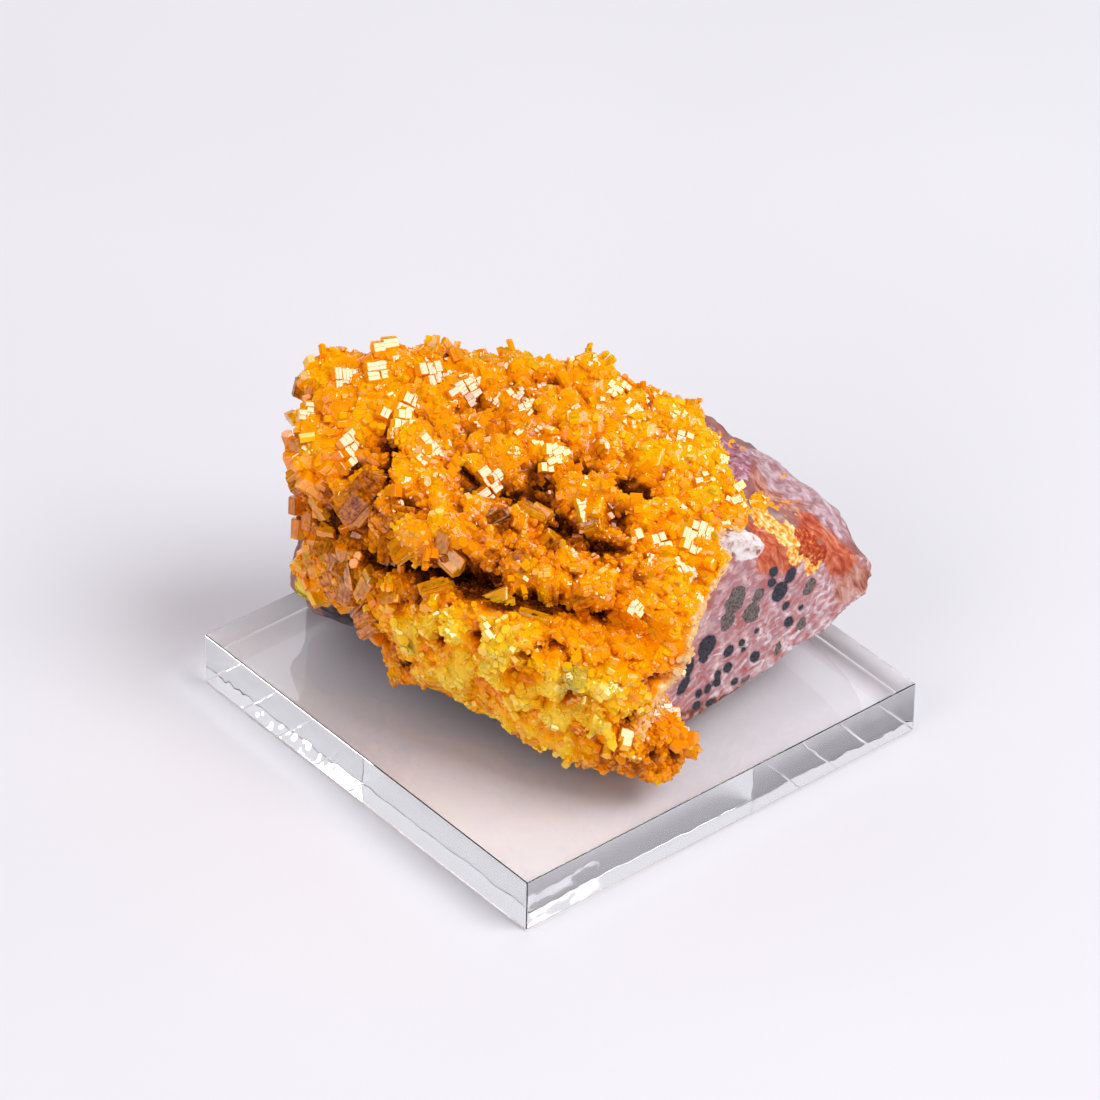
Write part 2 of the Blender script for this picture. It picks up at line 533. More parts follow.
def mauve_rock():
    """Hematite-stained altered lava, broken by hammer: a dull stone with no polish.

    Its mauve is clouded with brick red and chalky white drawn out in streaks, and speckled
    finely all over, so that it never reads as one paint.
    """
    made, tree, output = new_material("mauve_rock")
    place = add(tree, "TexCoord", out="Object")
    along = add(tree, "Attribute", out="Vector", attribute_name="along")
    drawn = add(tree, "Mapping", {"Vector": along, "Scale": (0.60, 1.0, 1.0)})
    down = add(tree, "Mapping", {"Vector": along, "Scale": (1.0, 0.35, 1.0)})

    # The clouds that its colours follow: where they lie, their size, how fine they go and how bent
    # they are. Those of the broken end are drawn out along it or down it.
    clouds = {}
    for name, vector, size, detail, bent in (
            ("streak", drawn, 1.5, 8.0, 0.7), ("vein", down, 1.3, 8.0, 0.6), ("pale", drawn, 1.6, 9.0, 0.8),
            ("back", place, 9 * MM, 3.0, 0.0), ("rust", place, 5.0 * MM, 4.0, 0.0),
            ("bloom", place, 4.0 * MM, 8.0, 0.0), ("mid", place, 2.6 * MM, 5.0, 0.0),
            ("white", place, 2.2 * MM, 9.0, 0.0), ("dots", place, 1.7 * MM, 1.0, 0.0),
            ("tongue", place, 1.6 * MM, 5.0, 0.0), ("grains", place, 1.5 * MM, 2.0, 0.0),
            ("foot", place, 1.3 * MM, 6.0, 0.0), ("cream", place, 1.0 * MM, 6.0, 0.0),
            ("core", place, 0.9 * MM, 6.0, 0.0), ("speck", place, 0.45 * MM, 3.0, 0.0)):
        clouds[name] = add(tree, "TexNoise", {"Vector": vector, "Scale": 1 / size, "Detail": detail,
                                              "Distortion": bent})

    def ragged(name, size, depth):
        """How far inside its patches each point is, with their border frayed by clouds."""
        cloud = add(tree, "TexNoise", {"Vector": place, "Scale": 1 / size, "Detail": 4.0})
        wobble = add(tree, "Math", {0: cloud, 1: 0.5}, operation="SUBTRACT")
        inside = add(tree, "Attribute", out="Fac", attribute_name=name)
        return add(tree, "Math", {0: wobble, 1: depth, 2: inside}, operation="MULTIPLY_ADD")

    def lay(under, name, size, depth, low, high, cloud, *stops):
        """Another stone laid over a colour in its patches, with a ragged border."""
        border = add(tree, "MapRange", {"Value": ragged(name, size, depth), "From Min": low,
                                        "From Max": high})
        over = add(tree, "ValToRGB", {"Fac": clouds[cloud]}, stops)
        return add(tree, "Mix", {0: border, 6: under, 7: over}, out=2, data_type="RGBA")

    # The stone all over: mauve, clouded with brick red, with a chalky bloom.
    stone = add(tree, "ValToRGB", {"Fac": clouds["mid"]}, (
        (0.30, "#6E4A4E"), (0.45, "#946064"), (0.56, "#A8706E"), (0.72, "#B98A88")))
    back = add(tree, "ValToRGB", {"Fac": clouds["back"]}, (
        (0.36, "#6E4644"), (0.46, "#9A5A4C"), (0.56, "#8F7472"), (0.66, "#A86A50")))
    stone = add(tree, "Mix", {0: 0.55, 6: stone, 7: back}, out=2, data_type="RGBA")
    bloom = add(tree, "MapRange", {"Value": clouds["bloom"], "From Min": 0.56, "From Max": 0.68,
                                   "To Max": 0.6})
    stone = add(tree, "Mix", {0: bloom, 6: stone, 7: linear("#C4A8A8")}, out=2, data_type="RGBA")

    # The fresh stone of the broken end: drawn out in streaks, whiter up the end, rusty in places.
    end = add(tree, "ValToRGB", {"Fac": clouds["streak"]}, (
        (0.28, "#A4504C"), (0.39, "#BC7670"), (0.47, "#A8808A"), (0.55, "#C09A9E"), (0.63, "#D0A09A"),
        (0.76, "#E6D4D8")))
    low = add(tree, "SeparateXYZ", {"Vector": along}, out="Y")
    low = add(tree, "MapRange", {"Value": low, "From Min": -10.0, "From Max": -30.0,
                                 "To Min": -0.60, "To Max": -0.50})
    pale = add(tree, "Math", {0: clouds["pale"], 1: low}, operation="ADD")
    pale = add(tree, "MapRange", {"Value": pale, "From Min": -0.02, "From Max": 0.14})
    end = add(tree, "Mix", {0: pale, 6: end, 7: linear("#DED0D6")}, out=2, data_type="RGBA")
    rusty = add(tree, "MapRange", {"Value": clouds["rust"], "From Min": 0.52, "From Max": 0.66,
                                   "To Max": 0.55})
    end = add(tree, "Mix", {0: rusty, 6: end, 7: linear("#A8504A")}, out=2, data_type="RGBA")
    at_end = add(tree, "Attribute", out="Fac", attribute_name="end")
    at_end = add(tree, "MapRange", {"Value": at_end, "From Min": 0.2, "From Max": 1.0})
    colour = add(tree, "Mix", {0: at_end, 6: stone, 7: end}, out=2, data_type="RGBA")

    # The other stones of the shoulder and ridge.
    colour = lay(colour, "tan", 3 * MM, 4.0, -0.4, 0.6, "vein",
                 (0.34, "#8E4E44"), (0.50, "#BC7A68"), (0.64, "#CCA298"))
    colour = lay(colour, "ridge", 3 * MM, 5.0, -0.3, 0.6, "vein",
                 (0.32, "#94686A"), (0.46, "#B08A8E"), (0.60, "#C6AAB2"), (0.76, "#E0D2DA"))
    colour = lay(colour, "brick", 3 * MM, 4.0, -0.4, 0.6, "vein",
                 (0.32, "#963824"), (0.48, "#BE5636"), (0.60, "#D07454"), (0.72, "#CE9A8A"))
    colour = lay(colour, "lens", 2 * MM, 2.0, -0.1, 0.2, "vein",
                 (0.32, "#84464E"), (0.50, "#A66C7A"), (0.66, "#CDB2BE"))
    colour = lay(colour, "cream", 1.6 * MM, 5.0, 0.0, 0.3, "cream",
                 (0.34, "#D2691C"), (0.44, "#EE9A2A"), (0.53, "#F4C468"), (0.66, "#FCE8BC"))
    colour = lay(colour, "core", 1.4 * MM, 4.0, 0.0, 0.3, "core",
                 (0.36, "#8E2C1A"), (0.50, "#B8431F"), (0.60, "#CE6A32"), (0.70, "#E8B078"))
    colour = lay(colour, "white", 1.5 * MM, 2.0, 0.0, 0.3, "white",
                 (0.36, "#A0605A"), (0.41, "#C8A8A2"), (0.48, "#DDD2D0"), (0.70, "#F2EEEE"))

    # Small yellow crystals strewn on them.
    spots = add(tree, "Attribute", out="Fac", attribute_name="spots")
    spots = add(tree, "Math", {0: clouds["grains"], 1: 0.12, 2: spots}, operation="MULTIPLY_ADD")
    spots = add(tree, "MapRange", {"Value": spots, "From Min": 0.0, "From Max": 0.5})
    dots = add(tree, "MapRange", {"Value": clouds["dots"], "From Min": 0.60, "From Max": 0.64})
    spots = add(tree, "Math", {0: dots, 1: spots}, operation="MULTIPLY")
    colour = add(tree, "Mix", {0: spots, 6: colour, 7: linear("#F5A018")}, out=2, data_type="RGBA")

    # The foot, the yellow tongue and dark stone at the left foot, and the ovals of the broken end,
    # the dark ones with a paler rim.
    colour = lay(colour, "foot", 2.5 * MM, 4.0, -0.2, 0.6, "foot",
                 (0.34, "#5A3C38"), (0.50, "#94503C"), (0.66, "#C9A89A"))
    colour = lay(colour, "tongue", 2.5 * MM, 3.0, -0.2, 0.3, "tongue",
                 (0.34, "#948428"), (0.44, "#E0C020"), (0.62, "#F0DC60"))
    colour = lay(colour, "black", 2.5 * MM, 3.0, -0.2, 0.3, "mid", (0.36, "#2A2428"), (0.66, "#6E6468"))
    colour = lay(colour, "olive", 1.5 * MM, 1.6, -0.05, 0.15, "speck", (0.34, "#463E3C"), (0.60, "#7A6E6A"))
    rim = add(tree, "MapRange", {"Value": ragged("oval", 1.0 * MM, 0.6), "From Min": -0.45,
                                 "From Max": -0.05})
    rim = add(tree, "Math", {0: rim, 1: 0.55}, operation="MULTIPLY")
    colour = add(tree, "Mix", {0: rim, 6: colour, 7: linear("#5E4650")}, out=2, data_type="RGBA")
    colour = lay(colour, "oval", 1.0 * MM, 0.6, -0.08, 0.05, "speck", (0.34, "#26242C"), (0.62, "#45434E"))

    bump = add(tree, "Bump", {"Strength": 0.5, "Distance": 0.4 * MM, "Height": clouds["speck"]})
    shader = add(tree, "BsdfPrincipled", {
        "Base Color": colour, "Roughness": 0.82, "IOR": 1.5, "Specular IOR Level": 0.3, "Normal": bump})
    tree.links.new(shader, output.inputs["Surface"])
    return made


rock = put("rock_matrix", rock_piece(), mauve_rock())
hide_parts("matrix_rock")


# ======================================================================================
# The crust. Mimetite, a lead arsenate, grew over the rock's front as one sugary layer: it
# swells in rounded lumps, sinks in small dark cavities and parts along the deep cleft.
# ======================================================================================
CRUST_CELLS = 126
CRUST_ROOT = 1.2
ABOVE_SLAB = 0.1
LUMP_SEED = 3
LUMPS_APART = 1.30
LUMP_RADIUS = 4.0
LUMP_ROUND = 0.95
LUMP_VARIES = (0.4, 1.35)
CRUST_SINKS = 2.9
CRUST_LEAST = 0.5
WALL_ROOT = 0.8
LIP_WIDTH = 2.2
PATCH_FROM = -1.2
SUGAR = ((1.9, 0.50), (0.9, 0.30))
RIM_BAND = 1.6
RIM_ENDS = 25

# Where the crystals are browner or yellower than orange: middle, radius and shift of tone.
TONE = 0.66
DARKEST = 0.06
SUNK_FROM = 0.6
TONES = (
    ((-48, 0, 45), 17, -0.04), ((-34, -16, 44), 10, -0.06), ((-8, 15, 67), 15, -0.03),
    ((22, 2, 58), 18, 0.10), ((-16, -34, 35), 13, 0.52), ((-25, -27, 32), 10, 0.42),
    ((6, -41, 31), 10, 0.62), ((-6, -34, 22), 12, 0.32), ((-5, -14, 55), 9, -0.12),
    ((8, -20, 51), 9, -0.10), ((-15, -17, 52), 8, -0.12), ((-18, 12, 66), 7, -0.12),
    ((-1, -37, 43), 6, -0.26), ((9, -36, 42), 7, -0.24), ((20, -34, 38), 8, -0.12),
    ((17, -43, 20), 8, -0.10),
)

# How many to a millimetre: growth lines across and along a crystal, flecks, and swells of the stain.
GROWTH_LINES = (3.2, 3.2, 0.25)
FLECKS = 1.1
MOSS = 0.55

# Where the crust is stained olive: middle and half sizes.
STAINS = (
    ((3.0, -41.0, 36.0), (3.4, 4.0, 8.5)), ((-53.0, -1.0, 34.0), (3.4, 5.0, 8.0)),
    ((-30.0, -21.0, 30.5), (4.0, 3.0, 2.4)), ((-14.0, 24.0, 70.0), (12.0, 2.4, 2.2)),
)


def lumpy(points, rng):
    """Round lumps over the crust: how far each point is lifted by the tallest one near it."""
    order = rng.permutation(len(points))
    radii = LUMP_RADIUS * rng.uniform(*LUMP_VARIES, len(points)) * (1 - 0.1 * lobe(points))
    keep = spread(points[order], radii[order] * LUMPS_APART)
    lift = np.zeros(len(points))
    uneven = 1 + 0.5 * noise_at(points, 2.6, (7, 1, 2))
    for i in order[keep]:
        round_top = 1 - np.sum((points - points[i]) ** 2, axis=1) / radii[i] ** 2 * uneven
        lift = np.maximum(lift, LUMP_ROUND * radii[i] * np.sqrt(np.maximum(round_top, 0)))
    return lift


def left_end(points):
    """One at the left end, where the crystals are large blocks, and nothing past it."""
    return np.clip((-34 - points[:, 0]) / 14, 0, 1)


def lobe(points):
    """One on the lower lobe, where the crystals are fine, and nothing above it."""
    return np.clip((40 - points[:, 2]) / 10, 0, 1) * (1 - left_end(points))


def spread(points, spacing):
    """Which points to keep so that each has its own space; the first ones are kept first."""
    cell = spacing.max()
    taken = {}
    kept = []
    around = [(x, y, z) for x in (-1, 0, 1) for y in (-1, 0, 1) for z in (-1, 0, 1)]
    cells = np.floor(points / cell).astype(int).tolist()
    for i, ((x, y, z), own, (cx, cy, cz)) in enumerate(zip(points.tolist(), spacing.tolist(), cells)):
        free = True
        for dx, dy, dz in around:
            for ox, oy, oz, other in taken.get((cx + dx, cy + dy, cz + dz), ()):
                room = (own + other) / 2
                if (x - ox) ** 2 + (y - oy) ** 2 + (z - oz) ** 2 < room * room:
                    free = False
                    break
            if not free:
                break
        if free:
            kept.append(i)
            taken.setdefault((cx, cy, cz), []).append((x, y, z, own))
    return np.array(kept)


def tone_at(points, sunk):
    """The crystals' tone, from dark brown at nothing to yellow at one."""
    tone = np.full(len(points), TONE)
    for middle, radius, shift in TONES:
        tone += shift * near(points, middle, radius)
    mottled = (0.14 + 0.16 * lobe(points)) * noise_at(points, 2.2, (9, 2, 4))
    tone += 0.16 * noise_at(points, 7.0, (5, 5, 5)) + mottled
    darker = 0.16 * np.clip(sunk - SUNK_FROM + lobe(points), 0, 8)
    return np.maximum(np.minimum(tone, 1.0) - darker, DARKEST)


def crust_surface():
    """The crust's outer and inner points, its cells, how far inside its border and how far sunk."""
    directions, faces = net(CRUST_CELLS)
    rough = outside(directions)
    inside = cover(rough)
    patch = faces[(inside[faces] > PATCH_FROM).all(axis=1)]
    used = np.unique(patch)
    number = np.full(len(directions), -1)
    number[used] = np.arange(len(used))
    directions, points, inside, patch = directions[used], rough[used], inside[used], number[patch]
    rng = np.random.default_rng(LUMP_SEED)
    thick = crust_thickness(inside)
    grown = np.clip(inside / FULL_FROM, 0, 1)
    down = deep(points)
    rock_reach = from_place(points, ROCK_CENTRE) - thick - np.clip(down - GAP_IN_CRUST, 0, None) * grown
    rock_reach = cut(directions, rock_reach, (BROKEN_END, UNDERCUT))
    change = grown * (lumpy(points, rng) - CRUST_SINKS)
    change += (0.3 + 0.7 * grown) * grain(points, SUGAR)
    change -= grown * down
    for middle, radius, height in FILLS:
        change += height * near(points, middle, radius)
    wall = np.clip((inside + 0.35) / 0.6, 0, 1)
    top = from_place(points, ROCK_CENTRE) + change
    top = np.maximum(top, rock_reach + CRUST_LEAST)
    reach = rock_reach - WALL_ROOT + (top - rock_reach + WALL_ROOT) * wall
    outer = out_to(directions, reach)
    lip = np.zeros(len(points))
    for gap, high, push in LIPS:
        line = np.array(GAPS[gap][0])
        height = np.interp(points[:, 0], line[:, 0], line[:, 2] + SEEN_LOWER * line[:, 1])
        above = points[:, 2] + SEEN_LOWER * points[:, 1] - height
        ends = (points[:, 0] > line[0, 0] - 2) & (points[:, 0] < line[-1, 0] + 2)
        leans = np.exp(-((above - high) / LIP_WIDTH) ** 2) * ends * grown
        leans *= np.exp(-np.clip(line_distance(points, line) - 6, 0, None) ** 2)
        outer += leans[:, None] * np.array(push)
        lip = np.maximum(lip, leans)
    low = ROCK_FOOT + ABOVE_SLAB
    outer[:, 2] = np.maximum(outer[:, 2], low)
    inner = out_to(directions, np.minimum(rock_reach - CRUST_ROOT, reach - 0.4))
    inner[:, 2] = np.maximum(inner[:, 2], low)
    valley = cleft_at(points) * np.clip((12 - points[:, 0]) / 14, 0, 1)
    return outer, inner, patch, inside, 0.5 * valley * (1 - lip) - change


def rim_at(points, inside):
    """How far inside the pale band along the broken end each point is; it ends above the foot."""
    place, outward = BROKEN_END
    beside_break = (points - np.array(place)) @ unit(outward) > -3
    return np.where(beside_break & (points[:, 2] > RIM_ENDS), RIM_BAND - inside, BARE)


def rim_of(patch):
    """The edges round a patch of cells, each in the direction of its cell."""
    ahead = np.stack([patch, np.roll(patch, -1, axis=1)], axis=2).reshape(-1, 2)
    sides = set(map(tuple, ahead.tolist()))
    return [(a, b) for a, b in sides if (b, a) not in sides]


def crust_piece(outer, inner, patch, inside, sunk):
    """The crust as one closed shell: its outer side, its root in the rock, and its rim."""
    count = len(outer)
    faces = [list(f) for f in patch] + [list(f[::-1] + count) for f in patch]
    faces += [[b, a, a + count, b + count] for a, b in sorted(rim_of(patch))]
    tone = tone_at(outer, sunk) - 0.04
    rim = rim_at(outer, inside)
    stain = patch_inside(outer, STAINS)
    both = {
        "tone": np.concatenate([tone, tone]),
        "rim": np.concatenate([rim, rim]),
        "stain": np.concatenate([stain, stain]),
        "grown": np.concatenate([outer, inner]),
    }
    mesh = mesh_from("crust", np.concatenate([outer, inner]), faces, both)
    mesh.shade_smooth()
    return mesh


def mimetite(name, see_through, streaks, roughness, shine, cloudy=0.25):
    """Mimetite: resinous and nearly as bright as diamond on its faces, honey inside.

    Light soaks a millimetre or two into it, which gives the glow of its edges. Fine growth lines
    run along each crystal.
    """
    made, tree, output = new_material(name)
    grown = add(tree, "Attribute", out="Vector", attribute_name="grown")
    tone, stain, rim = (add(tree, "Attribute", out="Fac", attribute_name=label)
                        for label in ("tone", "stain", "rim"))
    lines = add(tree, "Mapping", {"Vector": grown, "Scale": GROWTH_LINES})
    line, fleck, moss = (add(tree, "TexNoise", {"Vector": vector, "Scale": scale, "Detail": detail})
                         for vector, scale, detail in ((lines, 1.0, 2.0), (grown, FLECKS, 3.0),
                                                       (grown, MOSS, 5.0)))
    mixed = add(tree, "Math", {0: line, 1: streaks, 2: tone}, operation="MULTIPLY_ADD")
    mixed = add(tree, "Math", {0: fleck, 1: cloudy, 2: mixed}, operation="MULTIPLY_ADD")
    mixed = add(tree, "Math", {0: mixed, 1: (cloudy + streaks) / 2}, operation="SUBTRACT")
    colour = add(tree, "ValToRGB", {"Fac": mixed}, (
        (0.00, "#331000"), (0.16, "#803C00"), (0.32, "#C66800"), (0.47, "#F29000"),
        (0.62, "#FFA000"), (0.80, "#FFB800"), (1.00, "#FFD034")))
    moss = add(tree, "Math", {0: moss, 1: 6.0, 2: stain}, operation="MULTIPLY_ADD")
    moss = add(tree, "MapRange", {"Value": moss, "From Min": 3.2, "From Max": 4.4, "To Max": 0.75})
    colour = add(tree, "Mix", {0: moss, 6: colour, 7: linear("#B8A238")}, out=2, data_type="RGBA")
    rim = add(tree, "MapRange", {"Value": rim, "From Min": 0.0, "From Max": 0.5})
    colour = add(tree, "Mix", {0: rim, 6: colour, 7: linear("#F0BC80")}, out=2, data_type="RGBA")
    bright = add(tree, "MapRange", {"Value": mixed, "From Min": 0.08, "From Max": 0.40,
                                    "To Min": 0.1 * shine, "To Max": shine})
    bump = add(tree, "Bump", {"Strength": 0.25, "Distance": 0.08 * MM,
                              "Height": line if streaks else fleck})
    shader = add(tree, "BsdfPrincipled", {
        "Base Color": colour, "Roughness": roughness, "IOR": 2.14, "Specular IOR Level": bright,
        "Transmission Weight": see_through,
        "Subsurface Weight": 0.5, "Subsurface Radius": (1.0, 0.85, 0.40), "Subsurface Scale": 0.8 * MM,
        "Normal": bump})
    tree.links.new(shader, output.inputs["Surface"])
    return made


outer, inner, patch, inside, sunk = crust_surface()
sugar = mimetite("mimetite_sugar", 0.0, 0.0, 0.12, 0.12)
crust = put("mimetite_crust_base", crust_piece(outer, inner, patch, inside, sunk), sugar)
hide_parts("mimetite_crust")


# ======================================================================================
# The crystals. Six-sided mimetite prisms with flat ends, grown out of the crust: fine ones
# like sugar all over, knots of parallel ones that step up side by side, and large
# translucent blocks at the left end and along the cleft.
# ======================================================================================
CRYSTAL_SEED = 11
SITES_FOR_FINE = 50000
SITES = 16000
SITES_FROM = -0.6
TOE_FROM = 12
TOE_BELOW = 26
LOBE_BELOW = 40
LEFT_OF = -17
STOUT_FROM = 1.25
TALLEST = 0.4

# Knots of crystals whose sides lie along one plane and flash together, the way those sides
# face, and how many small ones lie in between: place and size in mm.
FLASH_FACES = (0.314, -0.558, 0.768)
SMALL_FLASHES = 60
FLASHES = (
    ((-36, 22, 68), 1.7), ((-43.5, 17, 66), 1.4), ((-32, 11, 68), 1.6), ((-33, 7, 63), 1.4),
    ((-25, 19, 67), 1.5), ((-20, 15, 66), 1.3), ((-14, -5, 58), 1.7), ((10, 19, 66), 1.0),
    ((-2.5, -1, 63), 1.2), ((0, 0, 62), 1.1), ((23, 9, 61.5), 1.1), ((36, 0, 54), 1.1),
    ((16, -43, 25), 1.5), ((-27, 2, 62), 1.1), ((-42, 4, 60), 1.2), ((-50, 12, 62), 1.0),
    ((19, -15, 53), 1.4), ((26, -14, 53), 1.4), ((23, -20, 48), 1.2), ((3, -10, 57), 1.2),
    ((14, 16, 64), 0.9), ((30, 2, 58), 0.9), ((-7, 12, 64), 0.9), ((-30, -27, 40), 1.0),
    ((-12, -33, 43), 1.1), ((-22, -29, 41), 1.1), ((27, -30, 34), 0.9), ((24, -33, 30), 0.9),
)

# Large blocks: place, radius and length in mm, lean from level as the viewer sees it, and how
# far the block points to the viewer, both in degrees. SIGHT is the way to the viewer. Each block
# is a few crystals grown into one another, each with its share of the radius.
SIGHT = np.array((0, -0.802, 0.597))
BLOCK_SCALE = 1.15
BLOCK_SHARES = (0.85, 0.7, 0.6, 0.5, 0.45, 0.4)
BLOCK_TONE = -0.18
BLOCKS = (
    ((-42, -5, 54), 2.7, 7.0, 35, 10), ((-42.5, -9, 44.6), 2.3, 7.5, 68, 5),
    ((-35.5, -11, 45.5), 2.4, 6.0, 95, 10), ((-39, -13, 38.0), 2.5, 5.0, 60, 40),
    ((-39.5, -11, 31), 2.5, 5.0, 50, 30), ((-44, -10, 38), 2.3, 6.5, 100, 0),
    ((-55, 5, 59), 1.9, 4.4, 100, 20), ((-54.5, 2, 54.5), 2.3, 4.0, 40, 30),
    ((-51, 20, 63), 2.0, 4.0, 75, 20), ((-30, -12, 55), 1.7, 5.5, -10, 10),
    ((-21, -20, 51), 2.0, 7.0, -40, 15), ((-13, -23.5, 46), 2.3, 7.5, 20, 10),
    ((-26, -22, 46), 2.2, 6.0, 15, 10), ((-50, -3, 47), 2.2, 5.0, 120, 20),
    ((-34, -17, 48), 1.9, 5.0, 40, 30), ((-49, -2, 40), 2.2, 5.5, 75, 10),
    ((-47, -6, 35), 2.0, 4.6, 110, 20), ((-14, -10, 56), 1.9, 6.5, 30, 10),
    ((-5, -8, 57), 1.7, 5.0, -30, 15), ((-3, -17, 54), 1.9, 4.2, 50, 20), ((6, -14, 55), 1.6, 4.0, 20, 20),
    ((-38, -2, 58), 2.0, 5.0, 60, 25), ((-24, -17, 53), 1.6, 4.4, 80, 20), ((-52, 9, 50), 1.9, 4.6, 60, 20),
    ((-39, -15, 39.2), 3.0, 6.0, 60, 40), ((-43, -10, 37.2), 2.7, 6.5, 85, 25),
    ((-38.8, -12.3, 31.7), 2.9, 5.5, 30, 45), ((-46, -5.5, 36.3), 2.3, 5.0, 70, 40),
    ((-48.3, -7, 44), 2.6, 5.4, 95, 40), ((-33.6, -20, 40.7), 2.4, 5.4, 25, 40),
    ((-52.3, 4, 42), 2.3, 4.6, 60, 30), ((-43, -7.4, 50.6), 3.0, 6.4, 50, 30),
    ((-35, -10, 46), 2.8, 7.0, 80, 25), ((-8, -21, 52), 1.6, 4.0, 100, 10),
    ((4, -27, 46), 1.7, 4.4, 20, 10), ((-5, -30, 45), 1.9, 6.0, -15, 5),
)


def section(strips, rough, rng):
    """The outline of a prism of radius one, each side split in strips that step in and out.

    One side faces along x; `rough` makes the outline less regular.
    """
    angles = math.radians(60) * np.arange(6) - math.radians(30) + rough * rng.uniform(-0.3, 0.3, 6)
    reach = 1 + rough * rng.uniform(-0.3, 0.2, 6)
    corners = np.stack([np.cos(angles) * reach, np.sin(angles) * reach], axis=1)
    if strips == 1:
        return corners
    points = []
    for start, end in zip(corners, np.roll(corners, -1, axis=0)):
        out = (start + end) / np.linalg.norm(start + end)
        edges = np.sort(np.concatenate([[0, 1], rng.uniform(0.12, 0.88, strips - 1)]))
        for i, (a, b) in enumerate(zip(edges, edges[1:])):
            inset = -rng.uniform(0.0, 0.07)
            points.append(start + (end - start) * (a + 0.02 * (i > 0)) + out * inset)
            points.append(start + (end - start) * (b - 0.02 * (i < strips - 1)) + out * inset)
    return np.array(points)


def prisms(outline, bevel, feet, axes, fronts, radii, lengths, roots, tones, widths, slants):
    """Prisms of one outline: their points, faces, tones and places in each crystal.

    `fronts` is the way one side faces, `widths` stretches each prism across that side and
    `slants` tips its end.
    """
    count, corners = len(feet), len(outline)
    side = unit(fronts - axes * np.sum(fronts * axes, axis=1, keepdims=True))
    other = np.cross(axes, side)
    rings = ((-roots, 0.92 * radii, 0), (lengths - bevel * radii, radii, 1),
             (lengths, radii * (1 - bevel), 1))
    points, local = [], []
    for height, radius, tipped in rings:
        x = outline[None, :, 0] * (radius / widths)[:, None]
        y = outline[None, :, 1] * (radius * widths)[:, None]
        z = height[:, None] + tipped * (x * slants[:, :1] + y * slants[:, 1:])
        points.append(feet[:, None] + axes[:, None] * z[..., None] + side[:, None] * x[..., None]
                      + other[:, None] * y[..., None])
        local.append(np.stack([x, y, z], axis=2))
    points = np.concatenate(points, axis=1).reshape(-1, 3)
    shift = np.arange(count)[:, None, None] * np.array((3.7, 1.3, 5.1))
    local = (np.concatenate(local, axis=1) + shift).reshape(-1, 3)
    ahead = np.roll(np.arange(corners), -1)
    here = np.arange(corners)
    quads = [np.stack([here, ahead, ahead + corners, here + corners], axis=1) + level * corners
             for level in range(2)]
    steps = np.arange(count) * corners * 3
    walls = (np.concatenate(quads)[None] + steps[:, None, None]).reshape(-1, 4)
    ends = np.concatenate([here[::-1][None] + steps[:, None], (here + 2 * corners)[None] + steps[:, None]])
    return points, walls.tolist() + ends.tolist(), np.repeat(tones, corners * 3), local


def crystal_piece(name, lots, finish):
    """One piece from several lots of prisms."""
    points, faces, tones, local = [], [], [], []
    count = 0
    for p, f, t, g in lots:
        faces += [[i + count for i in face] for face in f]
        points.append(p)
        tones.append(t)
        local.append(g)
        count += len(p)
    points = np.concatenate(points)
    points[:, 2] = np.maximum(points[:, 2], ROCK_FOOT + ABOVE_SLAB)
    fields = {"tone": np.concatenate(tones), "grown": np.concatenate(local),
              "rim": rim_at(points, cover(points) + 0.4), "stain": patch_inside(points, STAINS)}
    piece = put(name, mesh_from(name, points, faces, fields), finish)
    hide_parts("mimetite_crust")


def shared_out(strips, rough, bevels, rng, data):
    """The same prisms in several outlines and bevels, shared out among them."""
    pick = rng.integers(0, len(bevels), len(data[0]))
    return [prisms(section(strips, rough, rng), bevel, *(values[pick == k] for values in data))
            for k, bevel in enumerate(bevels) if (pick == k).any()]


def sites(count, rng):
    """Random places all over the crust: points, outward normals, how far in and how far sunk."""
    a, b, c, d = (outer[patch[:, i]] for i in range(4))
    normal = np.cross(c - a, d - b)
    area = np.linalg.norm(normal, axis=1) / 2
    normal = unit(normal)
    pick = rng.choice(len(patch), count, p=area / area.sum())
    u, v = rng.uniform(0, 1, (2, count, 1))
    places = (a[pick] * (1 - u) + b[pick] * u) * (1 - v) + (d[pick] * (1 - u) + c[pick] * u) * v
    middle_in = inside[patch].mean(axis=1)[pick]
    middle_sunk = sunk[patch].mean(axis=1)[pick]
    good = middle_in > SITES_FROM
    return places[good], normal[pick][good], middle_in[good], middle_sunk[good]


def leaning(places, normals, size, lean, jitter, rng):
    """Axes that lean from the crust the same way over a stretch, with a little of their own."""
    shared = np.stack([noise_at(places, size, (k * 11.3, 4.1, 7.7)) for k in (1, 2, 3)], axis=1)
    own = rng.normal(0, jitter, places.shape)
    return unit(normals + lean * shared * 2 + own)


